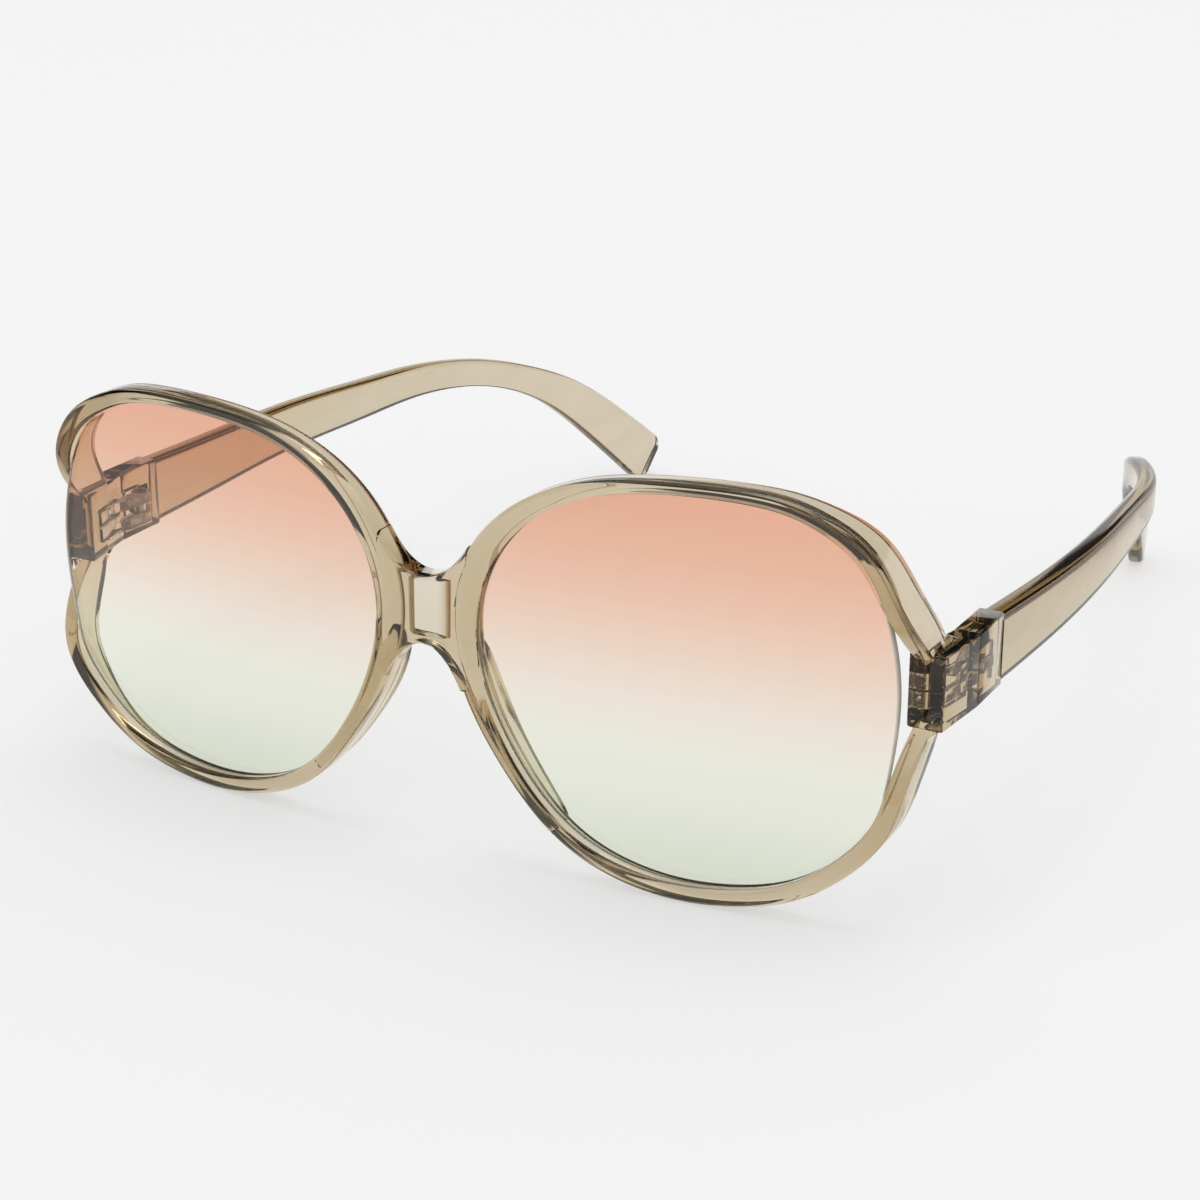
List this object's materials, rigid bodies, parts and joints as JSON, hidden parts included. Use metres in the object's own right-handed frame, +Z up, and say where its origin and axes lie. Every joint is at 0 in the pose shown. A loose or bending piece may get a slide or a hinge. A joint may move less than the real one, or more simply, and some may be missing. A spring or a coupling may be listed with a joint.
{
  "type": "round sunglasses",
  "caption": "Round oversized sunglasses with open-sided rims, a saddle bridge, gradient lenses and folding temples with bent ear hooks.",
  "frame": {"origin": "on the floor under the middle of the overall length and width, with the temples open", "axes": "+Z up, +Y from the lenses to the ear hooks, +X towards the wearer's left"},
  "size_m": [0.1454, 0.1661, 0.0592],
  "materials": {
    "frame_plastic": "glossy, translucent olive",
    "pad_plastic": "glossy, translucent olive",
    "hinge_plastic": "glossy, translucent olive",
    "tinted_lens": "clear, tinted from salmon at the top to pale green at the bottom",
    "hinge_steel": "satin"
  },
  "bodies": {
    "front": {"front_frame": "frame_plastic", "lens_left": "tinted_lens", "lens_right": "tinted_lens", "nose_pad_left": "pad_plastic", "nose_pad_right": "pad_plastic", "front_hinge_leaf_left": "hinge_plastic", "front_hinge_leaf_right": "hinge_plastic", "hinge_screw_left": "hinge_steel", "hinge_screw_right": "hinge_steel"},
    "left_temple": {"temple_left": "frame_plastic", "temple_block_left": "frame_plastic", "temple_hinge_leaf_left": "hinge_plastic"},
    "right_temple": {"temple_right": "frame_plastic", "temple_block_right": "frame_plastic", "temple_hinge_leaf_right": "hinge_plastic"}
  },
  "joints": [
    {"name": "left_temple_fold", "type": "hinge", "parent": "front", "child": "left_temple", "pos_m": [0.0671, -0.05666, 0.03227], "axis": [0, 0, 1], "range_deg": [0, 88]},
    {"name": "right_temple_fold", "type": "hinge", "parent": "front", "child": "right_temple", "pos_m": [-0.0671, -0.05666, 0.03227], "axis": [0, 0, -1], "range_deg": [0, 79]}
  ]
}
